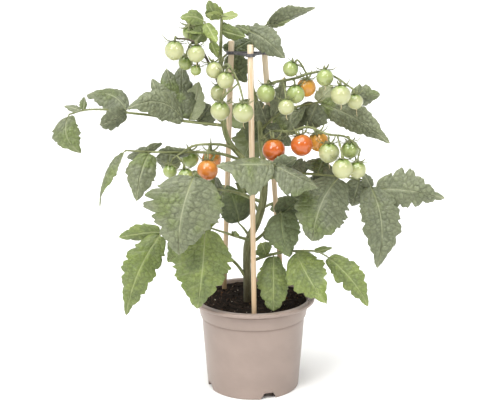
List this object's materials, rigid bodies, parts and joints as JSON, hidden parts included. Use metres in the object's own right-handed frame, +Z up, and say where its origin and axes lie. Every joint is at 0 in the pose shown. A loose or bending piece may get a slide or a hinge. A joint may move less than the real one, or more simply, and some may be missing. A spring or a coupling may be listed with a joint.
{
  "type": "cherry tomato plant in a pot",
  "caption": "Young cherry tomato plant with trusses of green to ripe fruit, held up by canes and a clip, in a round plastic grower's pot filled with soil.",
  "frame": {"origin": "centre of the flat middle of the pot's underside, on the surface that it stands on", "axes": "+Z up along the pot's axis, -Y towards the front of the plant, +X to the right seen from the front"},
  "size_m": [0.4171, 0.2385, 0.4343],
  "materials": {
    "pot_plastic": "satin",
    "soil": "matte",
    "cane_wood": "matte",
    "clip_plastic": "matte",
    "stem_green": "matte",
    "leaf_dull": "matte",
    "leaf_dark": "matte",
    "leaf_fresh": "matte",
    "fruit_green": "gloss",
    "fruit_pale": "gloss",
    "fruit_turning": "gloss",
    "fruit_ripe": "gloss"
  },
  "bodies": {
    "root": {"cane_front": "cane_wood", "cane_left": "cane_wood", "cane_right": "cane_wood", "clip": "clip_plastic", "fruit_lower_left_1": "fruit_turning", "fruit_lower_left_2": "fruit_turning", "fruit_lower_left_3": "fruit_green", "fruit_lower_left_4": "fruit_green", "fruit_lower_left_5": "fruit_green", "fruit_lower_right_1": "fruit_ripe", "fruit_lower_right_2": "fruit_ripe", "fruit_lower_right_3": "fruit_turning", "fruit_lower_right_4": "fruit_pale", "fruit_lower_right_5": "fruit_green", "fruit_lower_right_6": "fruit_pale", "fruit_lower_right_7": "fruit_pale", "fruit_top_1": "fruit_pale", "fruit_top_2": "fruit_green", "fruit_top_3": "fruit_pale", "fruit_top_4": "fruit_green", "fruit_top_5": "fruit_green", "fruit_top_6": "fruit_pale", "fruit_upper_left_1": "fruit_pale", "fruit_upper_left_2": "fruit_pale", "fruit_upper_left_3": "fruit_pale", "fruit_upper_left_4": "fruit_pale", "fruit_upper_right_1": "fruit_green", "fruit_upper_right_2": "fruit_turning", "fruit_upper_right_3": "fruit_green", "fruit_upper_right_4": "fruit_pale", "fruit_upper_right_5": "fruit_pale", "fruit_upper_right_6": "fruit_green", "fruit_upper_right_7": "fruit_green", "fruit_upper_right_8": "fruit_pale", "leaf_back_high": "leaf_dark", "leaf_back_left": "leaf_dark", "leaf_back_right": "leaf_dark", "leaf_behind_clip": "leaf_dark", "leaf_centre": "leaf_dull", "leaf_centre_left": "leaf_dull", "leaf_front_left": "leaf_fresh", "leaf_inner_left": "leaf_dark", "leaf_inner_right": "leaf_dark", "leaf_low_right": "leaf_fresh", "leaf_lower_left": "leaf_fresh", "leaf_mid_left": "leaf_dull", "leaf_mid_right": "leaf_dull", "leaf_top_left": "leaf_fresh", "leaf_top_narrow": "leaf_dull", "leaf_top_right": "leaf_dull", "leaf_upper_left": "leaf_dull", "leaf_upper_right": "leaf_dull", "pot": "pot_plastic", "soil": "soil", "stem": "stem_green", "truss_lower_left": "stem_green", "truss_lower_right": "stem_green", "truss_top": "stem_green", "truss_upper_left": "stem_green", "truss_upper_right": "stem_green"}
  },
  "joints": []
}
